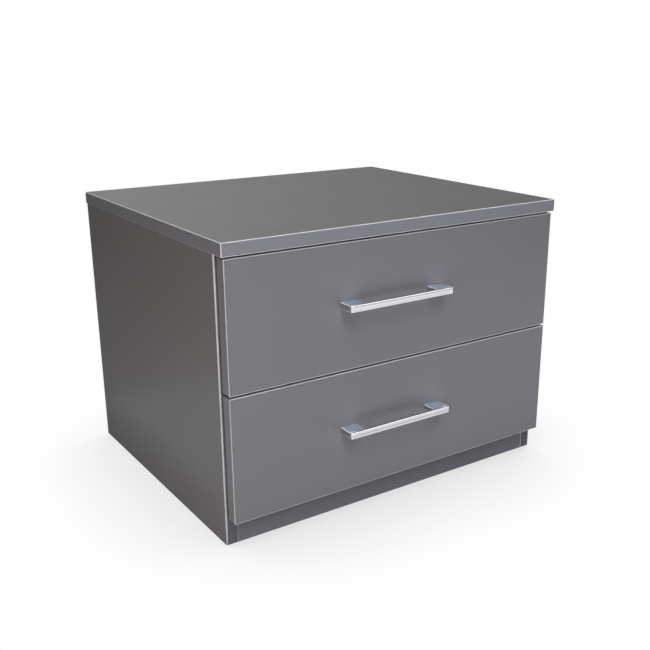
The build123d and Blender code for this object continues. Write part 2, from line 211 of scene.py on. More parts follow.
# Edge bands of the top and of the carcass front edges: 1 mm plastic, glued on hot, trimmed flush
# and scraped round. The top's band is in the board's colour, and the carcass band is painted darker,
# as painted shade in the slot beside the drawer fronts. The arrises and narrow rims are painted paler
# and glossier: partly the plastic that scraping bares and partly a painted highlight. The top's
# band is paler still where its rims look down, as a painted highlight.

record = frame["record"]
home = {node: body for body, nodes in record["behaviour"]["bodies"].items() for node in nodes}


def merged(node):
    """A CAD node's mesh as one closed skin, with flat areas joined into single faces."""
    weld_distance = 1e-6
    flat_within = math.radians(0.5)
    skin = bmesh.new()
    skin.from_mesh(frame["nodes"][node].data)
    bmesh.ops.remove_doubles(skin, verts=skin.verts, dist=weld_distance)
    bmesh.ops.dissolve_limit(skin, angle_limit=flat_within, verts=skin.verts, edges=skin.edges)
    return skin


def piece_from(skin, name, sharp_angle):
    """An object from a finished skin, smooth but for edges over the sharp angle, in degrees."""
    bmesh.ops.recalc_face_normals(skin, faces=skin.faces)
    for face in skin.faces:
        face.smooth = True
    mesh = bpy.data.meshes.new(name)
    skin.to_mesh(mesh)
    skin.free()
    mesh.set_sharp_from_angle(angle=math.radians(sharp_angle))
    piece = bpy.data.objects.new(name, mesh)
    bpy.context.scene.collection.objects.link(piece)
    return piece


def stands_for(piece, node, material):
    """Puts a piece on its node's body, in the node's place, and gives it a finish."""
    dress(piece, material)
    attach(piece, home[node])
    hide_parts(node)


def flats_kept(piece):
    """Shades a piece's flat faces as flat, with the turn of the light only on its rounded edges."""
    weights = piece.modifiers.new("flat_faces_stay_flat", "WEIGHTED_NORMAL")
    weights.keep_sharp = True
    return piece


def eased(node, radius, steps, shortest=0.0):
    """A node's shape with its arrises rounded, leaving edges shorter than the shortest as they are."""
    least_turn = math.radians(20)
    skin = merged(node)
    arrises = []
    for edge in skin.edges:
        if edge.is_manifold and edge.calc_face_angle() > least_turn and edge.calc_length() > shortest:
            arrises.append(edge)
    bmesh.ops.bevel(
        skin, geom=arrises, offset=radius, offset_type="OFFSET", segments=steps, profile=0.5, affect="EDGES"
    )
    return flats_kept(piece_from(skin, node + "_eased", sharp_angle=50))


def looks_along(tree):
    """How far the surface looks along X, Y and Z, from -1 to 1 each."""
    normal = add(tree, "TexCoord", {}).outputs["Normal"]
    return add(tree, "SeparateXYZ", {"Vector": normal}).outputs


def edge_band(name, pale, scrape_and_highlight, dark, light, underside_highlight=None):
    """Plastic band: the board's colour on its width, and a paler colour where the function pale says.

    That paler colour is partly the plastic that scraping bares and partly a painted highlight.
    Rims that look down may be painted paler still, as a painted highlight.
    """
    band_roughness, core_roughness = 0.34, 0.24
    material, tree, surface = new_finish(name)
    place = place_on(tree)
    core_and_highlight = scrape_and_highlight
    if underside_highlight:
        upward = spread(tree, looks_along(tree)["Z"], 0.0, 1.0, low=-0.4, high=-0.1)
        core_and_highlight = mix_colour(tree, upward, underside_highlight, scrape_and_highlight)
    # Painted highlight and bared plastic on the rims, patchy along them.
    patchiness = spread(tree, noise(tree, place, scale=90.0, detail=4.0), 0.7, 1.0)
    highlight_and_scrape_share = calc(tree, "MULTIPLY", pale(tree), patchiness)
    body = mix_colour(tree, noise(tree, place, scale=700.0), dark, light)
    colour = mix_colour(tree, highlight_and_scrape_share, body, core_and_highlight)
    lay_on(tree, surface, colour, mix_value(tree, highlight_and_scrape_share, band_roughness, core_roughness))
    emboss(tree, surface, noise(tree, place, scale=1300.0), strength=0.03, depth=0.0003)
    return material


def rims_of_top(tree):
    """One on both narrow rims of the top's bands and on every arris, those at the corners too: bared plastic
    and painted highlight.
    """
    ways = looks_along(tree)
    across = calc(tree, "ABSOLUTE", ways["X"])
    along = calc(tree, "ABSOLUTE", ways["Y"])
    flatness = calc(tree, "MAXIMUM", across, along)
    return spread(tree, flatness, 1.0, 0.0, low=0.85, high=0.98)


BAND_EASE = 0.00022
BAND_EASE_STEPS = 2
# Widths of the pale strips on the sides' front edges, partly bared plastic and partly painted highlight, and
# the blur of their borders.
OUTER_SCRAPE_AND_HIGHLIGHT = 0.0017
INNER_SCRAPE_AND_HIGHLIGHT = 0.0012
PALE_STRIP_BLUR = 0.0002
side_low, side_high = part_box("right_side_panel")


def rims_of_sides(tree):
    """One on the outer and the inner rim of the sides' front edges, each as wide as its pale strip of bared
    plastic and painted highlight.
    """
    inner = side_low[0]
    inner_end = inner + INNER_SCRAPE_AND_HIGHLIGHT
    outer = side_high[0] - OUTER_SCRAPE_AND_HIGHLIGHT
    across = add(tree, "SeparateXYZ", {"Vector": place_on(tree)}).outputs["X"]
    size = calc(tree, "ABSOLUTE", across)
    outer_rim = spread(tree, size, 0.0, 1.0, low=outer - PALE_STRIP_BLUR, high=outer + PALE_STRIP_BLUR)
    on_side = spread(tree, size, 0.0, 1.0, low=inner, high=inner + PALE_STRIP_BLUR)
    before_end = spread(tree, size, 1.0, 0.0, low=inner_end - PALE_STRIP_BLUR, high=inner_end + PALE_STRIP_BLUR)
    return calc(tree, "ADD", outer_rim, calc(tree, "MULTIPLY", on_side, before_end))


# The top band's pale rims are partly bared plastic and partly painted highlight, and those that look down
# are a near-white painted highlight.
top_band = edge_band(
    "graphite_band_top",
    pale=rims_of_top,
    scrape_and_highlight=(0.70, 0.69, 0.70, 1.0),
    dark=(0.138, 0.136, 0.1475, 1.0),
    light=(0.160, 0.158, 0.171, 1.0),
    underside_highlight=(0.95, 0.94, 0.95, 1.0),
)
# The carcass band is painted darker than the boards, as painted shade for the slot beside the drawer fronts
# where it shows. Its pale rims are partly bared plastic and partly painted highlight.
side_band = edge_band(
    "graphite_band_carcass",
    pale=rims_of_sides,
    scrape_and_highlight=(0.44, 0.43, 0.43, 1.0),
    dark=(0.082, 0.083, 0.088, 1.0),
    light=(0.098, 0.099, 0.105, 1.0),
)
for node, band in {"top_edge_bands": top_band, "carcass_edge_bands": side_band}.items():
    stands_for(eased(node, BAND_EASE, BAND_EASE_STEPS), node, band)


# Back panel: 3 mm hardboard, white lacquered on the inside and bare brown outside,
# where the press screen leaves its fine weave. Nails hold it to the rear edges.

def hardboard(name, lacquered):
    """Brown pressed fibre with white lacquer on the faces named."""
    dark_fibre, pale_fibre = (0.25, 0.155, 0.085, 1.0), (0.34, 0.22, 0.125, 1.0)
    dull_lacquer, clean_lacquer = (0.71, 0.69, 0.65, 1.0), (0.77, 0.75, 0.71, 1.0)
    fibre_roughness, lacquer_roughness = 0.75, 0.4
    lacquer_relief = 0.3
    material, tree, surface = new_finish(name)
    place = place_on(tree)
    fibres = noise(tree, place, scale=900.0, detail=6.0)
    clouds = noise(tree, place, scale=14.0, detail=5.0)
    shade = weighted(tree, (fibres, 0.6), (clouds, 0.4))
    brown = mix_colour(tree, spread(tree, shade, 0.0, 1.0), dark_fibre, pale_fibre)
    white = mix_colour(tree, noise(tree, place, scale=30.0, detail=4.0), dull_lacquer, clean_lacquer)
    weave = 0.0
    for way in ("X", "Z"):
        wires = {"Vector": place, "Scale": 260.0, "Distortion": 0.6}
        wave = add(tree, "TexWave", wires, bands_direction=way).outputs["Fac"]
        weave = calc(tree, "ADD", weave, wave)
    covered = facing(tree, lacquered)
    colour = mix_colour(tree, covered, brown, white)
    height = mix_value(tree, covered, weave, calc(tree, "MULTIPLY", fibres, lacquer_relief))
    lay_on(tree, surface, colour, mix_value(tree, covered, fibre_roughness, lacquer_roughness))
    emboss(tree, surface, height, strength=0.25, depth=0.0003)
    return material


def solids_of(node):
    """The corners of each separate solid of a CAD node."""
    skin = merged(node)
    seen = set()
    found = []
    for first in skin.verts:
        if first in seen:
            continue
        seen.add(first)
        corners = [first]
        for vert in corners:
            for edge in vert.link_edges:
                other = edge.other_vert(vert)
                if other not in seen:
                    seen.add(other)
                    corners.append(other)
        found.append(np.array([vert.co for vert in corners]))
    skin.free()
    return found


def head_and_way(corners, axis):
    """The middle of a headed pin's wide end, the way its shank points, and its length."""
    same_level = 1e-5
    low, high = corners.min(0), corners.max(0)
    middle = (low + high) / 2
    across = [k for k in range(3) if k != axis]
    reach = {}
    for end in (low[axis], high[axis]):
        rim = corners[np.abs(corners[:, axis] - end) < same_level]
        reach[float(end)] = np.linalg.norm((rim - middle)[:, across], axis=1).max()
    head_end = max(reach, key=reach.get)
    head = middle.copy()
    head[axis] = head_end
    way = np.zeros(3)
    way[axis] = 1.0 if head_end < middle[axis] else -1.0
    return Vector(head), Vector(way), float(high[axis] - low[axis])


def turned(skin, start, way, profile, sides):
    """Adds a turned body to a skin. The profile is (distance along the way, radius).

    It ends on the axis, or where it began.
    """
    lay = way.to_track_quat("Z", "Y").to_matrix()
    closed = profile[0] == profile[-1]
    rings = []
    for along, radius in profile[:-1] if closed else profile:
        turns = [2 * math.pi * k / sides for k in range(sides if radius else 1)]
        ring = [Vector((radius * math.cos(turn), radius * math.sin(turn), along)) for turn in turns]
        rings.append([skin.verts.new(start + lay @ point) for point in ring])
    if closed:
        rings.append(rings[0])
    for ring, following in zip(rings, rings[1:]):
        for k in range(sides):
            corners = [ring[k % len(ring)], ring[(k + 1) % len(ring)]]
            corners += [following[(k + 1) % len(following)], following[k % len(following)]]
            skin.faces.new(list(dict.fromkeys(corners)))


def metal(name, dark, light, smooth, rough):
    """Plated or cast metal, cloudy where it has been handled."""
    material, tree, surface = new_finish(name)
    place = place_on(tree)
    clouds = noise(tree, place, scale=220.0, detail=4.0)
    surface.inputs["Metallic"].default_value = 1.0
    roughness = spread(tree, noise(tree, place, scale=900.0), smooth, rough)
    lay_on(tree, surface, mix_colour(tree, clouds, dark, light), roughness)
    emboss(tree, surface, clouds, strength=0.08, depth=0.0002)
    return material


def nail_profile(length):
    """A round-headed panel nail with a point."""
    head, head_height = 0.0022, 0.0006
    shank, point = 0.0008, 0.0022
    dome = [(0, 0), (0.0001, 0.0012), (0.0003, 0.0019), (head_height, head)]
    return [*dome, (head_height, shank), (length - point, shank), (length, 0)]


ALONG_X, ALONG_Y, ALONG_Z = 0, 1, 2
zinc_plate = metal(
    "bright_zinc_plate", dark=(0.52, 0.54, 0.57, 1.0), light=(0.70, 0.71, 0.73, 1.0), smooth=0.18, rough=0.34
)
dress(frame["nodes"]["back_panel"], hardboard("hardboard_back", [FRONT]))
nails = bmesh.new()
for corners in solids_of("back_panel_nails"):
    head, way, length = head_and_way(corners, ALONG_Y)
    turned(nails, head, way, nail_profile(length), sides=16)
stands_for(piece_from(nails, "back_panel_nail_set", sharp_angle=40), "back_panel_nails", zinc_plate)


# Knock-down fittings of the carcass: die-cast cams let into the boards, the steel bolts that they
# pull on, and fluted beech dowels that keep the boards in line.

CAM_RIM = 0.0003
CAM_BODY_SHARE = 0.9
CAM_CROSS = {"span": 0.0085, "width": 0.0017, "depth": 0.0022}
zinc_casting = metal(
    "raw_zinc_casting", dark=(0.40, 0.41, 0.43, 1.0), light=(0.55, 0.56, 0.58, 1.0), smooth=0.3, rough=0.5
)


def size_of(corners):
    """How long a solid is along X, Y and Z."""
    return corners.max(0) - corners.min(0)


def radius_about(corners, axis):
    """The radius of a round solid that lies along the axis."""
    size = size_of(corners)
    return max(size[k] for k in range(3) if k != axis) / 2


def crossed(piece, heads, span, width, depth, seed):
    """Cuts a cross for the driver into each head, each at its own turn, as screws end up."""
    turns = random.Random(seed)
    cutter = bmesh.new()
    for head, way in heads:
        lay = way.to_track_quat("Z", "Y").to_matrix()
        turn = turns.uniform(0, math.pi / 2)
        for quarter in (turn, turn + math.pi / 2):
            arm = bmesh.ops.create_cube(cutter, size=1.0)["verts"]
            for vert in arm:
                x, y, z = vert.co.x * span, vert.co.y * width, vert.co.z * 2 * depth
                across = x * math.cos(quarter) - y * math.sin(quarter)
                along = x * math.sin(quarter) + y * math.cos(quarter)
                vert.co = head + lay @ Vector((across, along, z))
    tool = piece_from(cutter, piece.name + "_driver", sharp_angle=30)
    cut = piece.modifiers.new("driver_cross", "BOOLEAN")
    cut.operation = "DIFFERENCE"
    cut.solver = "EXACT"
    cut.use_self = True
    cut.object = tool
    graph = bpy.context.evaluated_depsgraph_get()
    piece.data = bpy.data.meshes.new_from_object(piece.evaluated_get(graph))
    piece.modifiers.clear()
    bpy.data.objects.remove(tool)
    piece.data.set_sharp_from_angle(angle=math.radians(35))


def cam_face(corners):
    """The middle of a cam's open face, the way into the board, its depth and its radius.

    The open face looks to the middle of the cabinet, to the rear or down.
    """
    low, high = corners.min(0), corners.max(0)
    axis = int(np.argmin(high - low))
    face = (low + high) / 2
    open_high = {ALONG_X: face[0] < 0, ALONG_Y: True, ALONG_Z: False}[axis]
    face[axis] = high[axis] if open_high else low[axis]
    way = np.zeros(3)
    way[axis] = -1.0 if open_high else 1.0
    return Vector(face), Vector(way), float((high - low)[axis]), radius_about(corners, axis)


def cam_set(node, seed):
    """Cams with a thin rim on the board, a cross for the driver and a plain body below."""
    skin = bmesh.new()
    heads = []
    for corners in solids_of(node):
        face, way, depth, radius = cam_face(corners)
        body = radius * CAM_BODY_SHARE
        profile = [
            (-CAM_RIM, 0), (-CAM_RIM, radius), (0, radius + CAM_RIM), (0, body), (depth, body), (depth, 0),
        ]
        turned(skin, face, way, profile, sides=32)
        heads.append((face - way * CAM_RIM, way))
    piece = piece_from(skin, node + "_cast", sharp_angle=40)
    crossed(piece, heads, seed=seed, **CAM_CROSS)
    stands_for(piece, node, zinc_casting)


def bolt_profile(length):
    """A threaded end, a collar at the board's face, a plain neck and a ball end for the cam to pull."""
    start, thread, collar, neck, ball, end = 0.0021, 0.0025, 0.0029, 0.0019, 0.0028, 0.0015
    chamfer, thread_end, collar_end = 0.0005, 0.0105, 0.0125
    neck_end, ball_start, ball_end = length - 0.006, length - 0.0045, length - 0.001
    return [
        (0, 0), (0, start), (chamfer, thread), (thread_end, thread), (thread_end, collar),
        (collar_end, collar), (collar_end, neck), (neck_end, neck), (ball_start, ball), (ball_end, ball),
        (length, end), (length, 0),
    ]


def bolt_set(node, starts_at_cam):
    """Cam bolts, each turned so that its ball end is the one in the cam."""
    skin = bmesh.new()
    for corners in solids_of(node):
        start, way, length = head_and_way(corners, int(np.argmax(size_of(corners))))
        if starts_at_cam(start, way, length):
            start, way = start + way * length, -way
        turned(skin, start, way, bolt_profile(length), sides=20)
    stands_for(piece_from(skin, node + "_turned", sharp_angle=40), node, zinc_plate)


def carcass_bolt_starts_at_cam(start, way, length):
    """True where a carcass bolt's start is its cam end: the thread sits nearer the outside."""
    end = start + way * length
    lies_across = abs(way.x) > 0.5
    if lies_across:
        return abs(start.x) < abs(end.x)
    return start.z < end.z


def beech():
    """Bare beech with short dark flecks."""
    material, tree, surface = new_finish("beech")
    specks = noise(tree, place_on(tree), scale=900.0, detail=2.0)
    flecks = spread(tree, specks, 0.0, 1.0, low=0.45, high=0.65)
    colour = mix_colour(tree, flecks, (0.55, 0.36, 0.20, 1.0), (0.40, 0.24, 0.12, 1.0))
    tree.links.new(colour, surface.inputs["Base Color"])
    surface.inputs["Roughness"].default_value = 0.7
    return material


def join_rings(skin, rings):
    """Joins rings that have as many corners each into a closed bar."""
    count = len(rings[0])
    for ring, following in zip(rings, rings[1:]):
        for k in range(count):
            after = (k + 1) % count
            skin.faces.new((ring[k], ring[after], following[after], following[k]))
    skin.faces.new(rings[0])
    skin.faces.new(rings[-1])


def fluted_dowels(node):
    """Dowels with chamfered ends and shallow flutes for the glue."""
    dowel_radius, flutes, flute_share = 0.0034, 12, 0.93
    chamfer, end_share = 0.0015, 0.8
    skin = bmesh.new()
    for corners in solids_of(node):
        start, way, length = head_and_way(corners, int(np.argmax(size_of(corners))))
        lay = way.to_track_quat("Z", "Y").to_matrix()
        rings = []
        for along, share in ((0, end_share), (chamfer, 1.0), (length - chamfer, 1.0), (length, end_share)):
            ring = []
            for k in range(2 * flutes):
                radius = dowel_radius * share * (1.0 if k % 2 else flute_share)
                turn = math.pi * k / flutes
                point = Vector((radius * math.cos(turn), radius * math.sin(turn), along))
                ring.append(skin.verts.new(start + lay @ point))
            rings.append(ring)
        join_rings(skin, rings)
    stands_for(piece_from(skin, node + "_fluted", sharp_angle=20), node, beech())


cam_set("carcass_cam_locks", seed=3)
bolt_set("carcass_cam_bolts", carcass_bolt_starts_at_cam)
fluted_dowels("carcass_dowels")


# Roller runners: folded sheet steel, powder coated white. One member is screwed to the carcass side
# and one under the drawer side, and a nylon roller on a rivet at the end of each carries the other.

def powder_coat():
    """White powder coat with its slight orange peel."""
    material, tree, surface = new_finish("white_powder_coat")
    place = place_on(tree)
    clouds = noise(tree, place, scale=40.0)
    colour = mix_colour(tree, clouds, (0.75, 0.735, 0.70, 1.0), (0.81, 0.795, 0.76, 1.0))
    lay_on(tree, surface, colour, spread(tree, noise(tree, place, scale=60.0), 0.3, 0.42))
    emboss(tree, surface, noise(tree, place, scale=650.0, detail=2.0), strength=0.12, depth=0.0003)
    return material


def nylon():
    """Natural nylon, a little see-through at the rim."""
    material, tree, surface = new_finish("natural_nylon")
    place = place_on(tree)
    clouds = noise(tree, place, scale=300.0)
    colour = mix_colour(tree, clouds, (0.66, 0.64, 0.57, 1.0), (0.74, 0.72, 0.66, 1.0))
    lay_on(tree, surface, colour, spread(tree, noise(tree, place, scale=500.0), 0.35, 0.5))
    surface.inputs["Subsurface Weight"].default_value = 0.15
    surface.inputs["Subsurface Radius"].default_value = (0.004, 0.0035, 0.003)
    return material


def rivet_profile(length):
    """A domed head, a plain shaft for the roller, and a thinner end that is riveted into the sheet."""
    head, head_height = 0.0037, 0.0007
    shaft, riveted_end = 0.0025, 0.0017
    shaft_end = length - 0.0012
    dome = [(0, 0), (0.0001, 0.0022), (0.0004, 0.0034), (head_height, head)]
    return [
        *dome, (head_height, shaft), (shaft_end, shaft), (shaft_end, riveted_end),
        (length, riveted_end), (length, 0),
    ]


def rivet_set(node):
    """The rivets that a drawer's or the cabinet's rollers turn on."""
    skin = bmesh.new()
    for corners in solids_of(node):
        head, way, length = head_and_way(corners, ALONG_X)
        turned(skin, head, way, rivet_profile(length), sides=28)
    stands_for(piece_from(skin, node + "_turned", sharp_angle=40), node, zinc_plate)


def screw_profile(length, head, head_height):
    """A pan head, a shank with the ridges of its thread, and a point."""
    neck, root, crest, tip = 0.0014, 0.0011, 0.0015, 0.0010
    pitch, flank = 0.0014, 0.0005
    thread_start, thread_end, tip_start = head_height + 0.0006, length - 0.003, length - 0.002
    profile = [
        (0, 0), (0, head * 0.55), (head_height * 0.35, head * 0.88), (head_height, head),
        (head_height, neck),
    ]
    along = thread_start
    while along < thread_end:
        profile += [(along, root), (along + flank, crest), (along + 2 * flank, root)]
        along += pitch
    return profile + [(tip_start, tip), (length, 0)]


SCREW_CROSS = {"span": 0.0040, "width": 0.0008}
SCREW_CROSS_SHARE = 0.75


def screw_set(node, axis, seed, head_height):
    """Pan-headed screws, each with its cross turned its own way."""
    skin = bmesh.new()
    heads = []
    for corners in solids_of(node):
        head, way, length = head_and_way(corners, axis)
        profile = screw_profile(length, radius_about(corners, axis), head_height)
        turned(skin, head, way, profile, sides=20)
        heads.append((head, way))
    piece = piece_from(skin, node + "_turned", sharp_angle=35)
    crossed(piece, heads, depth=head_height * SCREW_CROSS_SHARE, seed=seed, **SCREW_CROSS)
    stands_for(piece, node, zinc_plate)


def roller_profile(length, rim):
    """A hub with its bore, a web that is dished on the open side, and a tread with a slight crown."""
    bore, hub = 0.00255, 0.0045
    hub_face, web_face = 0.0006, 0.0014
    back = length - 0.0006
    shoulder, edge, crown = 0.0010, 0.0005, 0.0002
    return [
        (hub_face, bore), (hub_face, hub), (web_face, hub + 0.0004), (web_face, rim - 0.0022),
        (0.0002, rim - 0.0016), (0, rim - shoulder), (edge, rim - crown), (back * 0.3, rim),
        (back * 0.7, rim), (back - edge, rim - crown), (back, rim - shoulder), (back, hub),
        (length, hub), (length, bore), (hub_face, bore),
    ]


def roller_piece(node, material):
    """One nylon roller, with its open side at the wide end."""
    corners = solids_of(node)[0]
    wide_end, way, length = head_and_way(corners, ALONG_X)
    rim = size_of(corners)[ALONG_Z] / 2
    skin = bmesh.new()
    turned(skin, wide_end, way, roller_profile(length, rim), sides=48)
    stands_for(piece_from(skin, node + "_moulded", sharp_angle=35), node, material)


DRAWERS = ("lower", "upper")
SIDES = ("left", "right")
RUNNER_SCREW_HEAD = 0.0015
runner_finish = powder_coat()
roller_finish = nylon()
for drawer in DRAWERS:
    for side in SIDES:
        dress(frame["nodes"][f"{drawer}_{side}_cabinet_runner"], runner_finish)
        dress(frame["nodes"][f"{drawer}_drawer_{side}_runner"], runner_finish)
        roller_piece(f"{drawer}_{side}_cabinet_roller", roller_finish)
        roller_piece(f"{drawer}_{side}_drawer_roller", roller_finish)
    rivet_set(f"{drawer}_drawer_roller_axles")
    screw_set(f"{drawer}_drawer_runner_screws", ALONG_Z, seed=11, head_height=RUNNER_SCREW_HEAD)
rivet_set("cabinet_roller_axles")
screw_set("cabinet_runner_screws", ALONG_X, seed=12, head_height=RUNNER_SCREW_HEAD)


# Drawer boxes: white laminated sides and back with rounded top edges, a white hardboard bottom
# pushed into a groove, and screws through the sides into the ends of the back.

BOX_EASE = 0.0006
BOX_EASE_STEPS = 2
LONG_EDGE = 0.06
BOX_SCREW_HEAD = 0.0022
white_film = {
    "dark": (0.71, 0.695, 0.66, 1.0),
    "light": (0.77, 0.755, 0.72, 1.0),
    "gloss_low": 0.34,
    "gloss_high": 0.44,
}
box_side_finish = laminated_board("white_film_box_side", white_film, (LEFT, RIGHT, UP))
box_back_finish = laminated_board("white_film_box_back", white_film, (FRONT, REAR, UP))
bottom_finish = hardboard("hardboard_drawer_bottom", [UP])
for drawer in DRAWERS:
    for side in SIDES:
        node = f"{drawer}_drawer_{side}_side"
        stands_for(eased(node, BOX_EASE, BOX_EASE_STEPS, LONG_EDGE), node, box_side_finish)
    node = f"{drawer}_drawer_back"
    stands_for(eased(node, BOX_EASE, BOX_EASE_STEPS, LONG_EDGE), node, box_back_finish)
    dress(frame["nodes"][f"{drawer}_drawer_bottom"], bottom_finish)
    screw_set(f"{drawer}_drawer_box_screws", ALONG_X, seed=21, head_height=BOX_SCREW_HEAD)


# Drawer fronts: graphite boards like the carcass, with a smoother film, banded on all four edges,
# and held to the box sides by cams and bolts.

front_film = {
    "dark": (0.112, 0.108, 0.1135, 1.0),
    "light": (0.130, 0.126, 0.1325, 1.0),
    "gloss_low": 0.285,
    "gloss_high": 0.31,
}


def rims_of_fronts(tree):
    """One on the bands' narrow rims, which look the way that the board's faces do, and on their arrises:
    bared plastic and painted highlight.
    """
    along = calc(tree, "ABSOLUTE", looks_along(tree)["Y"])
    return spread(tree, along, 0.0, 1.0, low=0.2, high=0.5)


def front_bolt_starts_at_cam(start, way, length):
    """True where a front's bolt starts at its cam end, which is the rear one."""
    return way.y < 0


front_finish = laminated_board("graphite_film_fronts", front_film, (FRONT, REAR))
# The fronts' pale band rims are partly bared plastic and partly painted highlight, and those that look down
# are paler, as a painted highlight.
front_band = edge_band(
    "graphite_band_fronts",
    pale=rims_of_fronts,
    scrape_and_highlight=(0.38, 0.37, 0.37, 1.0),
    dark=(0.128, 0.125, 0.129, 1.0),
    light=(0.150, 0.147, 0.152, 1.0),
    underside_highlight=(0.85, 0.84, 0.84, 1.0),
)
for drawer in DRAWERS:
    dress(frame["nodes"][f"{drawer}_drawer_front"], front_finish)
    node = f"{drawer}_drawer_front_bands"
    stands_for(eased(node, BAND_EASE, BAND_EASE_STEPS), node, front_band)
    cam_set(f"{drawer}_drawer_cam_locks", seed=31)
    bolt_set(f"{drawer}_drawer_cam_bolts", front_bolt_starts_at_cam)


# Handles: a flat bar on two feet that flare into it, cast in zinc and chrome plated. The bar is
# polished, and the feet are satin on their flat tops and undersides and polished on their upright
# faces. Machine screws hold them from inside the drawer.

def polished_chrome():
    """Mirror chrome with a faint haze from wiping."""
    material, tree, surface = new_finish("polished_chrome")
    haze = noise(tree, place_on(tree), scale=70.0, detail=5.0)
    surface.inputs["Metallic"].default_value = 1.0
    colour = mix_colour(tree, haze, (0.66, 0.655, 0.65, 1.0), (0.72, 0.715, 0.71, 1.0))
    lay_on(tree, surface, colour, spread(tree, haze, 0.015, 0.035))
    return material


def foot_chrome():
    """Chrome that is satin on the flats with a painted blue reflection, painted bright on their rims as a
    highlight, and polished on the upright faces.
    """
    # The blue of the flats stands in for the cool overhead light that they reflect, and the near-white,
    # barely metallic rims are a painted highlight.
    satin_blue_reflection_dark, satin_blue_reflection_light = (0.61, 0.69, 0.82, 1.0), (0.67, 0.75, 0.88, 1.0)
    painted_rim_highlight = (0.94, 0.95, 0.97, 1.0)
    polish = (0.62, 0.61, 0.64, 1.0)
    material, tree, surface = new_finish("foot_chrome")
    haze = noise(tree, place_on(tree), scale=70.0, detail=5.0)
    level = calc(tree, "ABSOLUTE", looks_along(tree)["Z"])
    off_upright = spread(tree, level, 0.0, 1.0, low=0.15, high=0.3)
    flat = spread(tree, level, 0.0, 1.0, low=0.9, high=0.99)
    satin = mix_colour(tree, haze, satin_blue_reflection_dark, satin_blue_reflection_light)
    colour = mix_colour(tree, off_upright, polish, mix_colour(tree, flat, painted_rim_highlight, satin))
    polish_roughness = spread(tree, haze, 0.06, 0.12)
    roughness = mix_value(tree, off_upright, polish_roughness, mix_value(tree, flat, 0.2, 0.27))
    metallic = mix_value(tree, off_upright, 1.0, mix_value(tree, flat, 0.35, 0.77))
    lay_on(tree, surface, colour, roughness)
    tree.links.new(metallic, surface.inputs["Metallic"])
    return material


def bar_section(depth, half_height):
    """A flat bar with small rounded edges in front and behind: (depth from the back, height)."""
    front_round, back_round = 0.0006, 0.0003
    steps = 4
    turns = [math.radians(90 * k / steps) for k in range(steps + 1)]
    upper = []
    for turn in turns:
        along = depth - front_round * (1 - math.cos(turn))
        upper.append((along, half_height - front_round * (1 - math.sin(turn))))
    for turn in turns:
        along = back_round * (1 - math.sin(turn))
        upper.append((along, half_height - back_round * (1 - math.cos(turn))))
    return upper + [(along, -height) for along, height in reversed(upper)]


def handle_bar(node, material):
    """The bar as a run of sections, drawn back at its ends to a small facet."""
    facet = 0.0012
    low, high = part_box(node)
    depth, half_height = high[1] - low[1], (high[2] - low[2]) / 2
    middle = (low[2] + high[2]) / 2
    end_share = 1 - facet / depth
    stations = ((low[0], end_share), (low[0] + facet, 1), (high[0] - facet, 1), (high[0], end_share))
    section = bar_section(depth, half_height)
    skin = bmesh.new()
    rings = []
    for x, share in stations:
        ring = [(x, high[1] - along * share, middle + height) for along, height in section]
        rings.append([skin.verts.new(point) for point in ring])
    join_rings(skin, rings)
    stands_for(flats_kept(piece_from(skin, node + "_drawn", sharp_angle=32)), node, material)


FOOT_EASE = 0.0009
FOOT_EASE_STEPS = 3
HANDLE_SCREW_HEAD = 0.0024
bar_finish = polished_chrome()
foot_finish = foot_chrome()
for drawer in DRAWERS:
    handle_bar(f"{drawer}_drawer_handle_bar", bar_finish)
    node = f"{drawer}_drawer_handle_feet"
    stands_for(eased(node, FOOT_EASE, FOOT_EASE_STEPS), node, foot_finish)
    screw_set(f"{drawer}_drawer_handle_screws", ALONG_Y, seed=41, head_height=HANDLE_SCREW_HEAD)


# Studio: a white floor that runs to the horizon, softboxes high and low in front, behind, at the left
# corner, on the right and overhead, glowing cards flat on the floor, and soft pale walls far off in
# front and behind. The chrome mirrors the cards and the walls.

FLOOR_REACH = 60.0
FLOOR_DROP = 0.0004
CARD_HEIGHT = 0.004
BLACK, WHITE = (0.0, 0.0, 0.0, 1.0), (1.0, 1.0, 1.0, 1.0)
WHITE_LIGHT = (1.0, 1.0, 1.0)


def studio_floor():
    """White to the camera, with a soft contact shade, and a mid grey for the light that it throws back."""
    shade_reach, shade_colour, thrown_grey = 0.22, (0.74, 0.74, 0.75, 1.0), (0.42, 0.42, 0.42, 1.0)
    square = ((-1, -1), (1, -1), (1, 1), (-1, 1))
    corners = [(x * FLOOR_REACH, y * FLOOR_REACH, -FLOOR_DROP) for x, y in square]
    mesh = bpy.data.meshes.new("studio_floor")
    mesh.from_pydata(corners, [], [(0, 1, 2, 3)])
    floor = bpy.data.objects.new("studio_floor", mesh)
    bpy.context.scene.collection.objects.link(floor)
    material, tree, surface = new_finish("white_floor")
    openness = add(tree, "AmbientOcclusion", {"Distance": shade_reach}, samples=16).outputs["AO"]
    white = mix_colour(tree, spread(tree, openness, 0.0, 1.0, low=0.35, high=0.9), shade_colour, WHITE)
    seen = add(tree, "Emission", {"Color": white}).outputs[0]
    thrown = add(tree, "BsdfDiffuse", {"Color": thrown_grey}).outputs[0]
    camera_ray = add(tree, "LightPath", {}).outputs["Is Camera Ray"]
    both = add(tree, "MixShader", {0: camera_ray, 1: thrown, 2: seen}).outputs[0]
    tree.nodes.remove(surface)
    tree.links.new(both, tree.nodes["Material Output"].inputs["Surface"])
    dress(floor, material)


def area_lamp(name, place, power, colour):
    """A glowing sheet that lights the object and shows in the chrome, but not to the camera."""
    sheet = bpy.data.lights.new(name, "AREA")
    sheet.energy = power
    sheet.color = colour
    lamp = bpy.data.objects.new(name, sheet)
    lamp.location = place
    lamp.visible_camera = False
    bpy.context.scene.collection.objects.link(lamp)
    return lamp


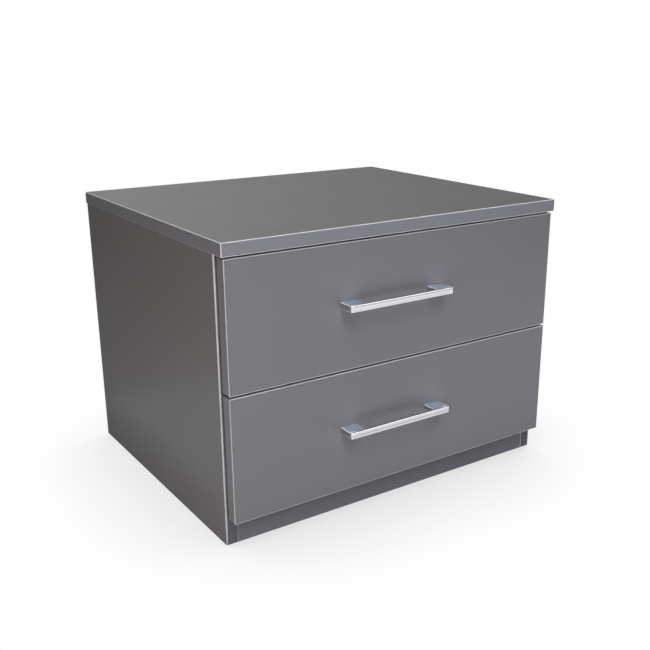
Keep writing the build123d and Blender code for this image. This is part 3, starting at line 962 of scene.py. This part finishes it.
def softbox(name, place, aim, size, power, colour):
    """A square lamp turned to its aim."""
    box = area_lamp(name, place, power, colour)
    box.data.shape = "SQUARE"
    box.data.size = size
    box.rotation_mode = "QUATERNION"
    box.rotation_quaternion = (Vector(aim) - Vector(place)).to_track_quat("-Z", "Y")
    return box


def floor_card(name, middle, width, depth, glow, colour):
    """A card flat on the floor. Its glow is its brightness, whatever its size."""
    card = area_lamp(name, (*middle, CARD_HEIGHT), glow * math.pi * width * depth, colour)
    card.data.shape = "RECTANGLE"
    card.data.size = width
    card.data.size_y = depth
    card.rotation_euler = (math.pi, 0, 0)


def surroundings():
    """Soft walls, each strongest straight in its own direction, and white where the camera sees them."""
    behind, in_front = 1, -1
    world = bpy.data.worlds.new("studio")
    world.use_nodes = True
    bpy.context.scene.world = world
    tree = world.node_tree
    ways = add(tree, "SeparateXYZ", {"Vector": add(tree, "TexCoord", {}).outputs["Generated"]}).outputs
    above_horizon = spread(tree, ways["Z"], 0.7, 1.0, low=0.13, high=0.20)
    walls = (
        (behind, 3.0, (0.922, 0.887, 0.870, 1.0), 1.0),
        (in_front, 2.0, (0.35, 0.35, 0.37, 1.0), above_horizon),
    )
    glow = BLACK
    for side, narrowness, colour, share in walls:
        towards = calc(tree, "MAXIMUM", calc(tree, "MULTIPLY", ways["Y"], side), 0.0)
        narrowed = calc(tree, "POWER", towards, narrowness)
        lit = mix_colour(tree, calc(tree, "MULTIPLY", narrowed, share), BLACK, colour)
        glow = add(tree, "Mix", {0: 1.0, 6: glow, 7: lit}, data_type="RGBA", blend_type="ADD").outputs[2]
    camera_ray = add(tree, "LightPath", {}).outputs["Is Camera Ray"]
    tree.links.new(mix_colour(tree, camera_ray, glow, WHITE), tree.nodes["Background"].inputs["Color"])


studio_floor()
softbox(
    "high_softbox", place=(-0.5, -1.5, 1.9), aim=(0, -0.2, 0.2),
    size=1.0, power=35.6, colour=(0.875, 0.93, 1.0),
)
softbox(
    "low_softbox", place=(-0.5, -1.9, 1.1), aim=(-0.05, -0.2, 0.25),
    size=1.0, power=11.0, colour=(0.80, 0.88, 1.0),
)
softbox(
    "rear_softbox", place=(-0.9, 0.9, 1.3), aim=(0, 0, 0.37),
    size=0.9, power=1.5, colour=(1.0, 0.90, 0.84),
)
softbox(
    "corner_lamp", place=(-1.0, -0.75, 0.22), aim=(-0.25, -0.1, 0.12),
    size=0.6, power=5.05, colour=(1.0, 0.84, 0.76),
)
right_box = softbox(
    "right_softbox", place=(1.6, 0.1, 0.8), aim=(0.25, 0, 0.2),
    size=0.8, power=15.0, colour=WHITE_LIGHT,
)
right_box.visible_glossy = False
ceiling_box = softbox(
    "ceiling_softbox", place=(1.1, -0.85, 1.9), aim=(0, -0.2, 0.3),
    size=1.8, power=36.0, colour=WHITE_LIGHT,
)
ceiling_box.visible_diffuse = False
FRONT_CARD_MIDDLE = 0.55
FRONT_CARD_WIDTH = 1.8
front_cards = {
    "near_card": {"near": 0.24, "far": 0.425, "glow": 0.55},
    "middle_card": {"near": 0.429, "far": 0.990, "glow": 0.59},
    "narrow_card": {"near": 0.991, "far": 1.019, "glow": 0.76},
    "far_card": {"near": 1.034, "far": 3.2, "glow": 0.74},
}
for name, card in front_cards.items():
    middle = (FRONT_CARD_MIDDLE, -(card["near"] + card["far"]) / 2)
    floor_card(name, middle, FRONT_CARD_WIDTH, card["far"] - card["near"], card["glow"], WHITE_LIGHT)
floor_card("left_card", (-0.75, -0.2), width=0.9, depth=1.1, glow=0.26, colour=(0.80, 1.0, 0.98))
surroundings()
bpy.context.scene.view_settings.view_transform = "Standard"
# The light that the chrome throws onto the fronts stays sharp.
bpy.context.scene.cycles.blur_glossy = 0.0


# Camera: a little above the cabinet, in front of its left corner. The lens and its shift are given
# in pixels of a square frame.

SENSOR_WIDTH = 36.0
FRAME_PIXELS = 650.0
FOCAL_PIXELS = 892.1
MIDDLE_PIXELS = (352.0, 338.0)
CAMERA_PLACE = (-0.6586, -1.0333, 0.5651)
CAMERA_WAY = (0.5406, 0.7821, -0.3101)
lens = bpy.data.cameras.new("camera")
lens.sensor_width = SENSOR_WIDTH
lens.lens = SENSOR_WIDTH * FOCAL_PIXELS / FRAME_PIXELS
lens.shift_x = 0.5 - MIDDLE_PIXELS[0] / FRAME_PIXELS
lens.shift_y = MIDDLE_PIXELS[1] / FRAME_PIXELS - 0.5
lens.clip_start = 0.01
lens.clip_end = 200.0
camera = bpy.data.objects.new("camera", lens)
camera.location = CAMERA_PLACE
camera.rotation_mode = "QUATERNION"
camera.rotation_quaternion = Vector(CAMERA_WAY).to_track_quat("-Z", "Y")
bpy.context.scene.collection.objects.link(camera)
bpy.context.scene.camera = camera
